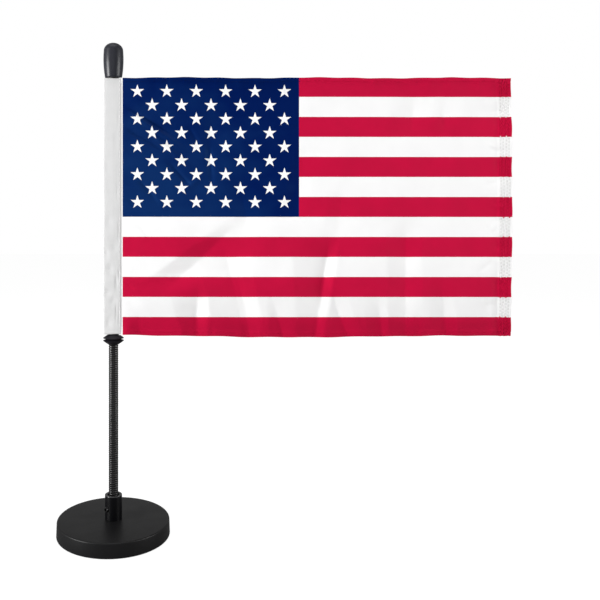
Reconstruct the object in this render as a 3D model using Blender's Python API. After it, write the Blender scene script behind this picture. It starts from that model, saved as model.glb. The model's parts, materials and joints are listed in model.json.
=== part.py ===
"""Desk flag stand: a weighted round base, a bendable neck, and a small flag whose sleeve turns on the neck.

Metres, +Z up. The origin is the middle of the base pad's underside, the pole stands along +Z and the
flag flies towards +X. Each moving body hangs on an empty that stands on its joint's axis, and the
empties form a chain, so that turning or sliding one of them carries everything above it.
"""

import math

import bmesh
import bpy
from mathutils import Matrix, Vector

MM = 0.001
GAP = 0.3 * MM  # air between two pieces that touch on the real stand

# Base: pad, weight and cover, stacked from the table up
BASE_RADIUS = 33.15 * MM
BASE_TOP_RADIUS = 32.9 * MM
BASE_TOP = 9.0 * MM
BASE_EDGE = 1.5 * MM  # rounding of the cover's top edge
COVER_RIM_BOTTOM = 0.4 * MM
COVER_RIM_BEVEL = 0.4 * MM
COVER_PLATE = 1.8 * MM
COVER_WALL = 2.25 * MM
PAD_RADIUS = 29.5 * MM
PAD_THICKNESS = 1.2 * MM
WEIGHT_BOTTOM = PAD_THICKNESS + GAP
WEIGHT_TOP = BASE_TOP - COVER_PLATE - GAP
WEIGHT_RADIUS = BASE_RADIUS - COVER_WALL - 0.5 * MM
WEIGHT_BEVEL = 0.6 * MM

# Screw that pulls the collar down on the cover and the weight
SCREW_RADIUS = 1.9 * MM
SCREW_HEAD_RADIUS = 3.8 * MM
SCREW_HEAD_BOTTOM = PAD_THICKNESS + 2 * GAP
SCREW_HEAD_HEIGHT = 1.9 * MM
SCREW_HEAD_BEVEL = 0.4 * MM
SCREW_SOCKET_RADIUS = 1.45 * MM
SCREW_SOCKET_DEPTH = 1.1 * MM
SCREW_HOLE_RADIUS = SCREW_RADIUS + GAP
WASHER_BOTTOM = SCREW_HEAD_BOTTOM + SCREW_HEAD_HEIGHT + GAP
WASHER_THICKNESS = 0.6 * MM
WASHER_RADIUS = 4.4 * MM
COUNTERBORE_TOP = WASHER_BOTTOM + WASHER_THICKNESS + GAP
COUNTERBORE_RADIUS = 5.0 * MM

# Collar that holds the neck's foot, and its set screw
COLLAR_RADIUS = 5.0 * MM
COLLAR_BOTTOM = BASE_TOP + GAP
COLLAR_TOP = 23.2 * MM
COLLAR_BEVEL = 0.25 * MM
COLLAR_BORE_RADIUS = 3.45 * MM
COLLAR_BORE_FLOOR = 13.5 * MM
COLLAR_MOUTH_BEVEL = 0.45 * MM
SCREW_TIP = COLLAR_BORE_FLOOR - 2 * GAP
SET_SCREW_RADIUS = 1.5 * MM
SET_SCREW_HEIGHT = 15.5 * MM
SET_SCREW_ANGLE = math.radians(225)
SET_SCREW_INNER_END = COLLAR_BORE_RADIUS
SET_SCREW_OUTER_END = 6.0 * MM
SET_SCREW_BEVEL = 0.25 * MM
SET_SCREW_SOCKET_RADIUS = 0.85 * MM
SET_SCREW_SOCKET_DEPTH = 1.2 * MM

# Neck: a round wire coil inside a wedge wire coil, in nine lengths with a bend between each two
NECK_BOTTOM = COLLAR_BORE_FLOOR + GAP
NECK_TOP = 280.4 * MM
RIB_PITCH = 1.27 * MM
RIB_CREST_RADIUS = 2.7 * MM
RIB_GROOVE_RADIUS = 2.45 * MM
WEDGE_COIL_BORE = 2.05 * MM
ROUND_COIL_RADIUS = WEDGE_COIL_BORE - GAP
ROUND_COIL_BORE = 1.05 * MM
CRIMPED_RADIUS = 2.5 * MM  # plain stretches of the coil, in the ferrules and inside the flag's sleeve
BEND_COUNT = 8
FIRST_BEND = 27.5 * MM
BEND_SPACING = 9.5 * MM
BEND_GAP = 1.0 * MM  # open at each bend, enough for 20 degrees either way
RIBS_END = 118.0 * MM
FERRULE_BORE = CRIMPED_RADIUS + GAP
FERRULE_RADIUS = COLLAR_BORE_RADIUS - GAP
LOWER_FERRULE_TOP = 21.5 * MM

# Stop: two conical cups, rim to rim, that the flag's sleeve rests on
STOP_TOP = 117.2 * MM
STOP_MIDDLE = 114.3 * MM
STOP_RIM_RADIUS = 6.1 * MM
STOP_RIM_TOP = 115.2 * MM
STOP_RIM_THICKNESS = 0.3 * MM
STOP_NECK_RADIUS = 3.2 * MM
STOP_FOOT_RADIUS = 4.2 * MM
STOP_HOLE_RADIUS = RIB_CREST_RADIUS + GAP

# Flag: sleeve round the neck and a printed panel, six inches by nine
SLEEVE_BOTTOM = STOP_TOP + GAP
SLEEVE_TOP = 267.3 * MM
SLEEVE_CENTRE = -0.4 * MM
SLEEVE_DEPTH_RADIUS = 3.4 * MM
SLEEVE_BORE_RADIUS = RIB_CREST_RADIUS + GAP
SLEEVE_STRETCH = 1.53  # its width over its depth
PANEL_BOTTOM = 116.2 * MM
PANEL_HEIGHT = 151.7 * MM
PANEL_HOIST = 5.3 * MM
PANEL_FLY = 234.0 * MM
PANEL_THICKNESS = 0.5 * MM
FOLD_AT = 119.5 * MM

# Cap on the neck's tip
CAP_BOTTOM = SLEEVE_TOP + GAP
CAP_HEIGHT = 20.8 * MM
CAP_MOUTH_RADIUS = 4.9 * MM
CAP_WIDEST_RADIUS = 5.89 * MM
CAP_WIDEST_HEIGHT = 11.2 * MM
CAP_DOME_HEIGHT = 4.6 * MM
CAP_BORE_RADIUS = FERRULE_RADIUS + GAP
CAP_BORE_TOP = NECK_TOP + 2 * GAP
CAP_BORE_TIP = CAP_BORE_TOP + 1.5 * MM
UPPER_FERRULE_BOTTOM = CAP_BOTTOM + GAP

# Sides of the turned pieces
BASE_SIDES = 64
COLLAR_SIDES = 32
SMALL_SIDES = 24
NECK_SIDES = 12

MERGE = 1e-6
CUT_OVERSHOOT = 0.5 * MM
SHARP_ANGLE = math.radians(30)


def clear_scene():
    for obj in list(bpy.data.objects):
        bpy.data.objects.remove(obj, do_unlink=True)


def material(name, colour, roughness, metallic=0.0):
    made = bpy.data.materials.new(name)
    made.use_nodes = True
    made.diffuse_color = (*colour, 1.0)
    shader = made.node_tree.nodes["Principled BSDF"]
    shader.inputs["Base Color"].default_value = (*colour, 1.0)
    shader.inputs["Roughness"].default_value = roughness
    shader.inputs["Metallic"].default_value = metallic
    return made


def place_of(pivot):
    """Where a pivot stands in the stand's frame. Pivots are shifted from one another, never turned."""
    place = Vector()
    while pivot:
        place += pivot.location
        pivot = pivot.parent
    return place


def attach(obj, pivot, place):
    obj.parent = pivot
    obj.location = Vector(place) - place_of(pivot)


def make_pivot(name, place, parent=None):
    pivot = bpy.data.objects.new(name, None)
    pivot.empty_display_size = 5 * MM
    bpy.context.scene.collection.objects.link(pivot)
    attach(pivot, parent, place)
    return pivot


def make_object(name, mesh_builder, finish):
    """Turns a bmesh into an object with outward faces, smooth but for its sharp edges."""
    bmesh.ops.recalc_face_normals(mesh_builder, faces=mesh_builder.faces)
    mesh = bpy.data.meshes.new(name)
    mesh_builder.to_mesh(mesh)
    mesh_builder.free()
    mesh.shade_smooth()
    mesh.set_sharp_from_angle(angle=SHARP_ANGLE)
    mesh.materials.append(finish)
    obj = bpy.data.objects.new(name, mesh)
    bpy.context.scene.collection.objects.link(obj)
    return obj


def spin_outline(outline, sides, foot):
    """Spins a (radius, height) outline about Z. It is a closed loop, or an open one from axis to axis."""
    builder = bmesh.new()
    points = [builder.verts.new((radius, 0.0, height - foot)) for radius, height in outline]
    edges = [builder.edges.new(pair) for pair in zip(points, points[1:])]
    if outline[0][0] > 0.0:
        edges.append(builder.edges.new((points[-1], points[0])))
    bmesh.ops.spin(
        builder, geom=points + edges, axis=(0, 0, 1), cent=(0, 0, 0), angle=2 * math.pi, steps=sides, use_merge=True
    )
    bmesh.ops.remove_doubles(builder, verts=builder.verts, dist=MERGE)
    return builder


def turned(name, outline, sides, finish, pivot):
    """A turned piece on the pole's axis, with its origin at its foot."""
    foot = min(height for _, height in outline)
    obj = make_object(name, spin_outline(outline, sides, foot), finish)
    attach(obj, pivot, (0.0, 0.0, foot))
    return obj


def tube_outline(bore, radius, bottom, top):
    return [(bore, bottom), (radius, bottom), (radius, top), (bore, top)]


def arc(centre, radii, start, end, steps):
    """Points of an elliptical arc in (radius, height), from one angle to another in degrees."""
    angles = [math.radians(start + (end - start) * step / steps) for step in range(steps + 1)]
    return [(centre[0] + radii[0] * math.cos(a), centre[1] + radii[1] * math.sin(a)) for a in angles]


def cut(obj, cutter):
    """Takes the cutter's shape out of the object."""
    cutter.hide_render = True
    cutter.display_type = "WIRE"
    modifier = obj.modifiers.new(cutter.name, "BOOLEAN")
    modifier.operation = "DIFFERENCE"
    modifier.solver = "EXACT"
    modifier.object = cutter


def prism(name, radius, length, sides, finish):
    """A straight prism along Z from its own origin, used as a cutter."""
    builder = bmesh.new()
    bmesh.ops.create_cone(
        builder,
        cap_ends=True,
        segments=sides,
        radius1=radius,
        radius2=radius,
        depth=length,
        matrix=Matrix.Translation((0, 0, length / 2)),
    )
    return make_object(name, builder, finish)


def build_base(finishes, stand):
    edge_centre = (BASE_TOP_RADIUS - BASE_EDGE, BASE_TOP - BASE_EDGE)
    cavity_radius = BASE_RADIUS - COVER_WALL
    cavity_top = BASE_TOP - COVER_PLATE
    cover = [
        (SCREW_HOLE_RADIUS, cavity_top),
        (cavity_radius, cavity_top),
        (cavity_radius, COVER_RIM_BOTTOM),
        (BASE_RADIUS - COVER_RIM_BEVEL, COVER_RIM_BOTTOM),
        (BASE_RADIUS, COVER_RIM_BOTTOM + COVER_RIM_BEVEL),
        *arc(edge_centre, (BASE_EDGE, BASE_EDGE), 0, 90, 5),
        (SCREW_HOLE_RADIUS, BASE_TOP),
    ]
    turned("base_cover", cover, BASE_SIDES, finishes["base_coat"], stand)

    weight = [
        (SCREW_HOLE_RADIUS, COUNTERBORE_TOP),
        (COUNTERBORE_RADIUS, COUNTERBORE_TOP),
        (COUNTERBORE_RADIUS, WEIGHT_BOTTOM),
        (WEIGHT_RADIUS - WEIGHT_BEVEL, WEIGHT_BOTTOM),
        (WEIGHT_RADIUS, WEIGHT_BOTTOM + WEIGHT_BEVEL),
        (WEIGHT_RADIUS, WEIGHT_TOP - WEIGHT_BEVEL),
        (WEIGHT_RADIUS - WEIGHT_BEVEL, WEIGHT_TOP),
        (SCREW_HOLE_RADIUS, WEIGHT_TOP),
    ]
    turned("base_weight", weight, BASE_SIDES, finishes["weight_iron"], stand)

    pad = [(0.0, 0.0), (PAD_RADIUS, 0.0), (PAD_RADIUS, PAD_THICKNESS), (0.0, PAD_THICKNESS)]
    turned("base_pad", pad, BASE_SIDES, finishes["pad_rubber"], stand)


def build_collar_screw(finishes, stand):
    head_top = SCREW_HEAD_BOTTOM + SCREW_HEAD_HEIGHT
    screw = [
        (0.0, SCREW_HEAD_BOTTOM),
        (SCREW_HEAD_RADIUS - SCREW_HEAD_BEVEL, SCREW_HEAD_BOTTOM),
        (SCREW_HEAD_RADIUS, SCREW_HEAD_BOTTOM + SCREW_HEAD_BEVEL),
        (SCREW_HEAD_RADIUS, head_top),
        (SCREW_RADIUS, head_top),
        (SCREW_RADIUS, SCREW_TIP - SCREW_HEAD_BEVEL),
        (SCREW_RADIUS - SCREW_HEAD_BEVEL, SCREW_TIP),
        (0.0, SCREW_TIP),
    ]
    steel = finishes["screw_steel"]
    collar_screw = turned("collar_screw", screw, SMALL_SIDES, steel, stand)
    socket = prism("collar_screw_socket", SCREW_SOCKET_RADIUS, SCREW_SOCKET_DEPTH + CUT_OVERSHOOT, 6, steel)
    attach(socket, stand, (0.0, 0.0, SCREW_HEAD_BOTTOM - CUT_OVERSHOOT))
    cut(collar_screw, socket)

    washer = tube_outline(SCREW_HOLE_RADIUS, WASHER_RADIUS, WASHER_BOTTOM, WASHER_BOTTOM + WASHER_THICKNESS)
    turned("collar_screw_washer", washer, SMALL_SIDES, steel, stand)


def build_collar(finishes, stand):
    collar_outline = [
        (SCREW_HOLE_RADIUS, COLLAR_BOTTOM),
        (COLLAR_RADIUS, COLLAR_BOTTOM),
        (COLLAR_RADIUS, COLLAR_TOP - COLLAR_BEVEL),
        (COLLAR_RADIUS - COLLAR_BEVEL, COLLAR_TOP),
        (COLLAR_BORE_RADIUS + COLLAR_MOUTH_BEVEL, COLLAR_TOP),
        (COLLAR_BORE_RADIUS, COLLAR_TOP - COLLAR_MOUTH_BEVEL),
        (COLLAR_BORE_RADIUS, COLLAR_BORE_FLOOR),
        (SCREW_HOLE_RADIUS, COLLAR_BORE_FLOOR),
    ]
    collar = turned("collar", collar_outline, COLLAR_SIDES, finishes["collar_coat"], stand)
    hole = prism(
        "set_screw_hole", SET_SCREW_RADIUS + GAP, SET_SCREW_OUTER_END, SMALL_SIDES, finishes["collar_coat"]
    )
    attach(hole, stand, (0.0, 0.0, SET_SCREW_HEIGHT))
    hole.rotation_euler = (0.0, math.pi / 2, SET_SCREW_ANGLE)
    cut(collar, hole)


def build_set_screw(finishes, stand):
    """A socket set screw that points along the collar's radius, on a pivot turned to that radius."""
    outward = Vector((math.cos(SET_SCREW_ANGLE), math.sin(SET_SCREW_ANGLE), 0.0))
    axis = make_pivot("set_screw_turn", outward * SET_SCREW_INNER_END + Vector((0.0, 0.0, SET_SCREW_HEIGHT)), stand)
    axis.rotation_euler = (0.0, math.pi / 2, SET_SCREW_ANGLE)
    length = SET_SCREW_OUTER_END - SET_SCREW_INNER_END
    outline = [
        (0.0, 0.0),
        (SET_SCREW_RADIUS - SET_SCREW_BEVEL, 0.0),
        (SET_SCREW_RADIUS, SET_SCREW_BEVEL),
        (SET_SCREW_RADIUS, length - SET_SCREW_BEVEL),
        (SET_SCREW_RADIUS - SET_SCREW_BEVEL, length),
        (0.0, length),
    ]
    black = finishes["set_screw_steel"]
    screw = make_object("set_screw", spin_outline(outline, SMALL_SIDES, 0.0), black)
    screw.parent = axis
    socket = prism("set_screw_socket", SET_SCREW_SOCKET_RADIUS, SET_SCREW_SOCKET_DEPTH + CUT_OVERSHOOT, 6, black)
    socket.parent = axis
    socket.location = (0.0, 0.0, length - SET_SCREW_SOCKET_DEPTH)
    cut(screw, socket)


def ribbed_side(bottom, top):
    """The wedge wire's outer side from bottom to top: a crest and a groove at each turn of the coil."""
    points = [(RIB_CREST_RADIUS, bottom)]
    half_pitch = RIB_PITCH / 2
    step = math.ceil(bottom / half_pitch + 0.5)
    while step * half_pitch < top - half_pitch / 2:
        points.append((RIB_GROOVE_RADIUS if step % 2 else RIB_CREST_RADIUS, step * half_pitch))
        step += 1
    return points + [(RIB_CREST_RADIUS, top)]


def build_neck_link(index, bottom, top, ribs_from, ribs_to, finishes, pivot):
    """One length of the neck: the wedge wire coil outside and the round wire coil inside it."""
    side = ribbed_side(ribs_from, ribs_to)
    if bottom < ribs_from:
        side = [(CRIMPED_RADIUS, bottom), (CRIMPED_RADIUS, ribs_from)] + side
    if top > ribs_to:
        side = side + [(CRIMPED_RADIUS, ribs_to), (CRIMPED_RADIUS, top)]
    wedge = [(WEDGE_COIL_BORE, bottom), *side, (WEDGE_COIL_BORE, top)]
    turned(f"neck_wedge_coil_{index}", wedge, NECK_SIDES, finishes["neck_steel"], pivot)
    round_coil = tube_outline(ROUND_COIL_BORE, ROUND_COIL_RADIUS, bottom, top)
    turned(f"neck_round_coil_{index}", round_coil, NECK_SIDES, finishes["neck_steel"], pivot)


def build_neck(finishes, stand):
    """The neck from the collar up. Returns the pivot of its last bend, which carries the flag."""
    bends = [FIRST_BEND + BEND_SPACING * number for number in range(BEND_COUNT)]
    pivot = stand
    lower_ribs = LOWER_FERRULE_TOP + GAP
    build_neck_link(0, NECK_BOTTOM, bends[0] - BEND_GAP / 2, lower_ribs, bends[0] - BEND_GAP / 2, finishes, pivot)
    for number, bend in enumerate(bends):
        pivot = make_pivot(f"bend_{number + 1}", (0.0, 0.0, bend), pivot)
        bottom = bend + BEND_GAP / 2
        is_last = number == BEND_COUNT - 1
        top = NECK_TOP if is_last else bends[number + 1] - BEND_GAP / 2
        ribs_to = RIBS_END if is_last else top
        build_neck_link(number + 1, bottom, top, bottom, ribs_to, finishes, pivot)

    lower = tube_outline(FERRULE_BORE, FERRULE_RADIUS, NECK_BOTTOM, LOWER_FERRULE_TOP)
    turned("neck_ferrule_lower", lower, SMALL_SIDES, finishes["ferrule_steel"], stand)
    upper = tube_outline(FERRULE_BORE, FERRULE_RADIUS, UPPER_FERRULE_BOTTOM, NECK_TOP)
    turned("neck_ferrule_upper", upper, SMALL_SIDES, finishes["ferrule_steel"], pivot)
    return pivot


def build_stop(finishes, neck_tip):
    slide = make_pivot("stop_slide", (0.0, 0.0, STOP_MIDDLE), neck_tip)
    foot = STOP_MIDDLE + GAP / 2
    upper = [
        (STOP_HOLE_RADIUS, foot),
        (STOP_FOOT_RADIUS, foot),
        (STOP_RIM_RADIUS, STOP_RIM_TOP - STOP_RIM_THICKNESS),
        (STOP_RIM_RADIUS, STOP_RIM_TOP),
        (STOP_NECK_RADIUS, STOP_TOP),
        (STOP_HOLE_RADIUS, STOP_TOP),
    ]
    lower = [(radius, 2 * STOP_MIDDLE - height) for radius, height in upper]
    turned("stop_upper_cup", upper, COLLAR_SIDES, finishes["stop_coat"], slide)
    turned("stop_lower_cup", lower, COLLAR_SIDES, finishes["stop_coat"], slide)
    return slide


def build_panel(name, hoist_side, fly_side, finish, pivot):
    """One flat stretch of the flag's cloth, with its origin on its pivot."""
    place = place_of(pivot)
    size = Vector((fly_side - hoist_side, PANEL_THICKNESS, PANEL_HEIGHT))
    centre = Vector(((hoist_side + fly_side) / 2, 0.0, PANEL_BOTTOM + PANEL_HEIGHT / 2)) - place
    builder = bmesh.new()
    bmesh.ops.create_cube(builder, size=1.0, matrix=Matrix.Translation(centre) @ Matrix.Diagonal((*size, 1.0)))
    obj = make_object(name, builder, finish)
    attach(obj, pivot, place)


def build_flag(finishes, stop):
    swivel = make_pivot("flag_swivel", (0.0, 0.0, SLEEVE_BOTTOM), stop)
    sleeve = spin_outline(
        tube_outline(SLEEVE_BORE_RADIUS, SLEEVE_DEPTH_RADIUS, SLEEVE_BOTTOM, SLEEVE_TOP), SMALL_SIDES, SLEEVE_BOTTOM
    )
    bmesh.ops.scale(sleeve, vec=(SLEEVE_STRETCH, 1.0, 1.0), verts=sleeve.verts)
    sleeve_object = make_object("flag_sleeve", sleeve, finishes["sleeve_cloth"])
    attach(sleeve_object, swivel, (SLEEVE_CENTRE, 0.0, SLEEVE_BOTTOM))

    fold = make_pivot("fly_fold", (FOLD_AT, 0.0, SLEEVE_BOTTOM), swivel)
    build_panel("flag_panel_hoist", PANEL_HOIST, FOLD_AT - GAP / 2, finishes["flag_cloth"], swivel)
    build_panel("flag_panel_fly", FOLD_AT + GAP / 2, PANEL_FLY, finishes["flag_cloth"], fold)


def build_cap(finishes, neck_tip):
    """A rubber cap that swells gently to its widest place and closes in a dome."""
    pull = make_pivot("cap_pull", (0.0, 0.0, CAP_BOTTOM), neck_tip)
    flare = CAP_WIDEST_RADIUS - CAP_MOUTH_RADIUS
    side_radius = (flare**2 + CAP_WIDEST_HEIGHT**2) / (2 * flare)
    side_centre = (CAP_WIDEST_RADIUS - side_radius, CAP_BOTTOM + CAP_WIDEST_HEIGHT)
    dome_base = CAP_BOTTOM + CAP_HEIGHT - CAP_DOME_HEIGHT
    mouth_angle = math.degrees(math.asin(CAP_WIDEST_HEIGHT / side_radius))
    dome_angle = math.degrees(math.asin((dome_base - side_centre[1]) / side_radius))
    side = arc(side_centre, (side_radius, side_radius), -mouth_angle, dome_angle, 6)
    dome = arc((0.0, dome_base), (side[-1][0], CAP_DOME_HEIGHT), 0, 90, 6)
    top = (0.0, CAP_BOTTOM + CAP_HEIGHT)
    bore = [(0.0, CAP_BORE_TIP), (CAP_BORE_RADIUS, CAP_BORE_TOP), (CAP_BORE_RADIUS, CAP_BOTTOM)]
    turned("finial_cap", bore + side + dome[1:-1] + [top], SMALL_SIDES, finishes["cap_rubber"], pull)


def build_stand():
    clear_scene()
    finishes = {
        "base_coat": material("base_coat", (0.022, 0.022, 0.024), 0.62),
        "collar_coat": material("collar_coat", (0.012, 0.012, 0.014), 0.42),
        "weight_iron": material("weight_iron", (0.16, 0.16, 0.17), 0.7, 1.0),
        "pad_rubber": material("pad_rubber", (0.02, 0.02, 0.02), 0.9),
        "screw_steel": material("screw_steel", (0.55, 0.55, 0.56), 0.35, 1.0),
        "set_screw_steel": material("set_screw_steel", (0.03, 0.03, 0.032), 0.3, 1.0),
        "neck_steel": material("neck_steel", (0.02, 0.02, 0.022), 0.4, 0.6),
        "ferrule_steel": material("ferrule_steel", (0.05, 0.05, 0.055), 0.4, 1.0),
        "stop_coat": material("stop_coat", (0.015, 0.015, 0.017), 0.45),
        "sleeve_cloth": material("sleeve_cloth", (0.78, 0.78, 0.79), 0.85),
        "flag_cloth": material("flag_cloth", (0.85, 0.85, 0.86), 0.8),
        "cap_rubber": material("cap_rubber", (0.035, 0.035, 0.04), 0.5),
    }
    stand = make_pivot("stand", (0.0, 0.0, 0.0))
    build_base(finishes, stand)
    build_collar_screw(finishes, stand)
    build_collar(finishes, stand)
    build_set_screw(finishes, stand)
    neck_tip = build_neck(finishes, stand)
    stop = build_stop(finishes, neck_tip)
    build_flag(finishes, stop)
    build_cap(finishes, neck_tip)


build_stand()
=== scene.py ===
"""Looks of the desk flag stand: the cloth flag and its sewing, the wound neck, and every visible finish.

Metres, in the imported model's own frame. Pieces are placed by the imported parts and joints. What is finer than
those, such as folds, stitches, wires and edges, is sized here.
"""

import json
import math
import random

import bmesh
import bpy
import numpy as np
from mathutils import Matrix, Vector
from mathutils.geometry import delaunay_2d_cdt


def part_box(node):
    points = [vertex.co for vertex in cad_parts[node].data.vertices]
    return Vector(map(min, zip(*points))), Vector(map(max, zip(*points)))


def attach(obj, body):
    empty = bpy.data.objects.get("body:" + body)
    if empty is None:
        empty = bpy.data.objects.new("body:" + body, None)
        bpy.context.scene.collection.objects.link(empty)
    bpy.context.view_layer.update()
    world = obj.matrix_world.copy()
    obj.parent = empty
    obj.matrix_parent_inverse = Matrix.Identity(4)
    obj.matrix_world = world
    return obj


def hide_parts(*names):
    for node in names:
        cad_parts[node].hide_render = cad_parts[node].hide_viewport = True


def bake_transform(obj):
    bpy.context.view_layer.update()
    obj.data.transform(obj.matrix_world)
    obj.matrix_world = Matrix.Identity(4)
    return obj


MM = 0.001

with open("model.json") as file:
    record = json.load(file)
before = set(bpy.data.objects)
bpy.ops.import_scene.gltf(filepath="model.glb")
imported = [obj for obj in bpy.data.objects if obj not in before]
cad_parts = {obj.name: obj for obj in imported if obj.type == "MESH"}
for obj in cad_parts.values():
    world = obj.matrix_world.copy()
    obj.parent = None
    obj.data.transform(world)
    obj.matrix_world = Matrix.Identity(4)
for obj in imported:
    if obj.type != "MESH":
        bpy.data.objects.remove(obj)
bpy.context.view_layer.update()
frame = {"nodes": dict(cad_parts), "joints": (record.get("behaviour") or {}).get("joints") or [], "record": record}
BODY_OF = {node: body for body, nodes in frame["record"]["behaviour"]["bodies"].items() for node in nodes}
JOINTS = {joint["name"]: joint for joint in frame["joints"]}

# Cloth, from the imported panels: u runs from the print's hoist edge towards the fly, v up from its foot
hoist_low, hoist_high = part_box("flag_panel_hoist")
fly_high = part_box("flag_panel_fly")[1]
BEFORE_PRINT = 0.33 * MM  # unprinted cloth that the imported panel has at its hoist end
PRINT_HOIST = hoist_low.x + BEFORE_PRINT
PRINT_WIDTH = fly_high.x - PRINT_HOIST
PRINT_FOOT = hoist_low.z
PRINT_HEIGHT = hoist_high.z - hoist_low.z
MARGIN = 2.2 * MM  # unprinted cloth between the print and the end of the panel inside the sleeve
STRIPES = 13
TURNED = 0.62 * MM  # print that the top and bottom hems take round to the back
STRIPE_HEIGHT = (PRINT_HEIGHT + 2 * TURNED) / STRIPES
CANTON_STRIPES = 7
CANTON_WIDTH = 0.4533 * PRINT_WIDTH
CANTON_FOOT = (STRIPES - CANTON_STRIPES) * STRIPE_HEIGHT - TURNED
CANTON_HEIGHT = CANTON_STRIPES * STRIPE_HEIGHT
STAR_ROWS = 9
STAR_ROW_PITCH = 0.0989 * CANTON_HEIGHT
STAR_COLUMN_PITCH = CANTON_WIDTH / 12
STAR_RADIUS = 4.15 * MM
STAR_INNER = 0.382  # a five-pointed star's inner radius over its outer one
STAR_EDGE_PARTS = 4
CLOTH = 0.26 * MM  # thickness
CELL = 0.95 * MM  # of the panel's mesh

# Hems: how far the edge is turned over, and the stitch rows' places in from the edge
FLY_HEM = 7.6 * MM
FLY_ROWS = [1.6 * MM, 3.1 * MM, 4.9 * MM, 6.5 * MM]
FLY_STITCH = 2.0 * MM
EDGE_HEM = 2.9 * MM
EDGE_ROW = 2.1 * MM
EDGE_STITCH = 2.3 * MM


# ---------------- meshes

def new_object(name, mesh, *materials):
    for material in materials:
        mesh.materials.append(material)
    obj = bpy.data.objects.new(name, mesh)
    bpy.context.scene.collection.objects.link(obj)
    return obj


def mesh_from(name, points, faces, smooth=True):
    mesh = bpy.data.meshes.new(name)
    mesh.from_pydata([tuple(p) for p in points], [], faces)
    mesh.update()
    if smooth:
        mesh.shade_smooth()
    return mesh


def arc(centre, radii, start, end, steps):
    """Points of an elliptical arc in (radius, height), from one angle to another in degrees."""
    angles = [math.radians(start + (end - start) * step / steps) for step in range(steps + 1)]
    return [(centre[0] + radii[0] * math.cos(a), centre[1] + radii[1] * math.sin(a)) for a in angles]


def rounded_corner(before, corner, after, radius, steps=4):
    """A short curve that takes the place of a corner between two sides of an outline."""
    corner = Vector(corner)
    start = corner + (Vector(before) - corner).normalized() * radius
    end = corner + (Vector(after) - corner).normalized() * radius
    shares = [step / steps for step in range(steps + 1)]
    return [tuple(start * (1 - t) ** 2 + corner * 2 * t * (1 - t) + end * t**2) for t in shares]


def turned(name, outline, sides, material):
    """A turned piece: a closed (radius, height) outline round the pole's axis, or one from axis to axis."""
    builder = bmesh.new()
    rings = []
    for radius, height in outline:
        if radius < 1e-7:
            rings.append([builder.verts.new((0.0, 0.0, height))] * sides)
            continue
        turn = [2 * math.pi * side / sides for side in range(sides)]
        rings.append([builder.verts.new((radius * math.cos(a), radius * math.sin(a), height)) for a in turn])
    if outline[0][0] > 1e-7:
        rings.append(rings[0])
    for lower, upper in zip(rings, rings[1:]):
        for side in range(sides):
            near, far = side, (side + 1) % sides
            corners = [lower[near], lower[far], upper[far], upper[near]]
            builder.faces.new(list(dict.fromkeys(corners)))
    bmesh.ops.recalc_face_normals(builder, faces=builder.faces)
    mesh = bpy.data.meshes.new(name)
    builder.to_mesh(mesh)
    builder.free()
    mesh.shade_smooth()
    mesh.set_sharp_from_angle(angle=math.radians(40))
    return new_object(name, mesh, material)


def tube_faces(rings, sides):
    """The faces of a closed tube through rings of points, with both ends."""
    faces = []
    for ring in range(rings - 1):
        for side in range(sides):
            near, far = ring * sides + side, ring * sides + (side + 1) % sides
            faces.append((near, far, far + sides, near + sides))
    return [*faces, tuple(reversed(range(sides))), tuple(range((rings - 1) * sides, rings * sides))]


def face_outward(mesh):
    """Turns every face of a closed mesh outward."""
    builder = bmesh.new()
    builder.from_mesh(mesh)
    bmesh.ops.recalc_face_normals(builder, faces=builder.faces)
    builder.to_mesh(mesh)
    builder.free()


def cut_with(obj, cutter):
    """Takes the cutter's shape out of the object for good, and removes the cutter."""
    modifier = obj.modifiers.new("cut", "BOOLEAN")
    modifier.object = cutter
    modifier.solver = "EXACT"
    graph = bpy.context.evaluated_depsgraph_get()
    cut = bpy.data.meshes.new_from_object(obj.evaluated_get(graph), depsgraph=graph)
    obj.modifiers.remove(modifier)
    obj.data = cut
    bpy.data.objects.remove(cutter)
    cut.shade_smooth()
    cut.set_sharp_from_angle(angle=math.radians(30))


def wrap_up(obj, node):
    """The piece stands for this node, and moves with its body."""
    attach(obj, BODY_OF[node])
    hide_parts(node)


# ---------------- materials

def finish(name, colour, roughness, metallic=0.0, specular=0.5):
    material = bpy.data.materials.new(name)
    material.use_nodes = True
    shader = material.node_tree.nodes["Principled BSDF"]
    shader.inputs["Base Color"].default_value = (*colour, 1.0)
    shader.inputs["Roughness"].default_value = roughness
    shader.inputs["Metallic"].default_value = metallic
    shader.inputs["Specular IOR Level"].default_value = specular
    return material, material.node_tree, shader


def place_on(tree):
    """Where a pattern reads its place: the object's own frame."""
    return tree.nodes.new("ShaderNodeTexCoord").outputs["Object"]


def place_in_cloth(tree):
    """The same in the cloth's flat layout, so that a pattern follows the cloth."""
    node = tree.nodes.new("ShaderNodeUVMap")
    node.uv_map = "cloth"
    return node.outputs["UV"]


def feed(shader, name, source):
    shader.id_data.links.new(source, shader.inputs[name])


def fed_node(kind, **inputs):
    """A node in the material of a socket that its first input is fed from. The other inputs get values."""
    (first, source), *values = inputs.items()
    node = source.id_data.nodes.new(kind)
    feed(node, first, source)
    for name, value in values:
        node.inputs[name].default_value = value
    return node


def noise_from(place, scale, detail=3.0, roughness=0.5, stretch=None):
    if stretch:
        mapping = fed_node("ShaderNodeMapping", Vector=place, Scale=stretch)
        place = mapping.outputs["Vector"]
    node = fed_node("ShaderNodeTexNoise", Vector=place, Scale=scale, Detail=detail, Roughness=roughness)
    return node.outputs["Fac"]


def bands_from(place, direction, period):
    """Sine bands of a given period. Blender's wave repeats each 2 pi / 20 at scale 1."""
    node = fed_node("ShaderNodeTexWave", Vector=place, Scale=2 * math.pi / (20 * period))
    node.bands_direction = direction
    return node.outputs["Fac"]


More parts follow.
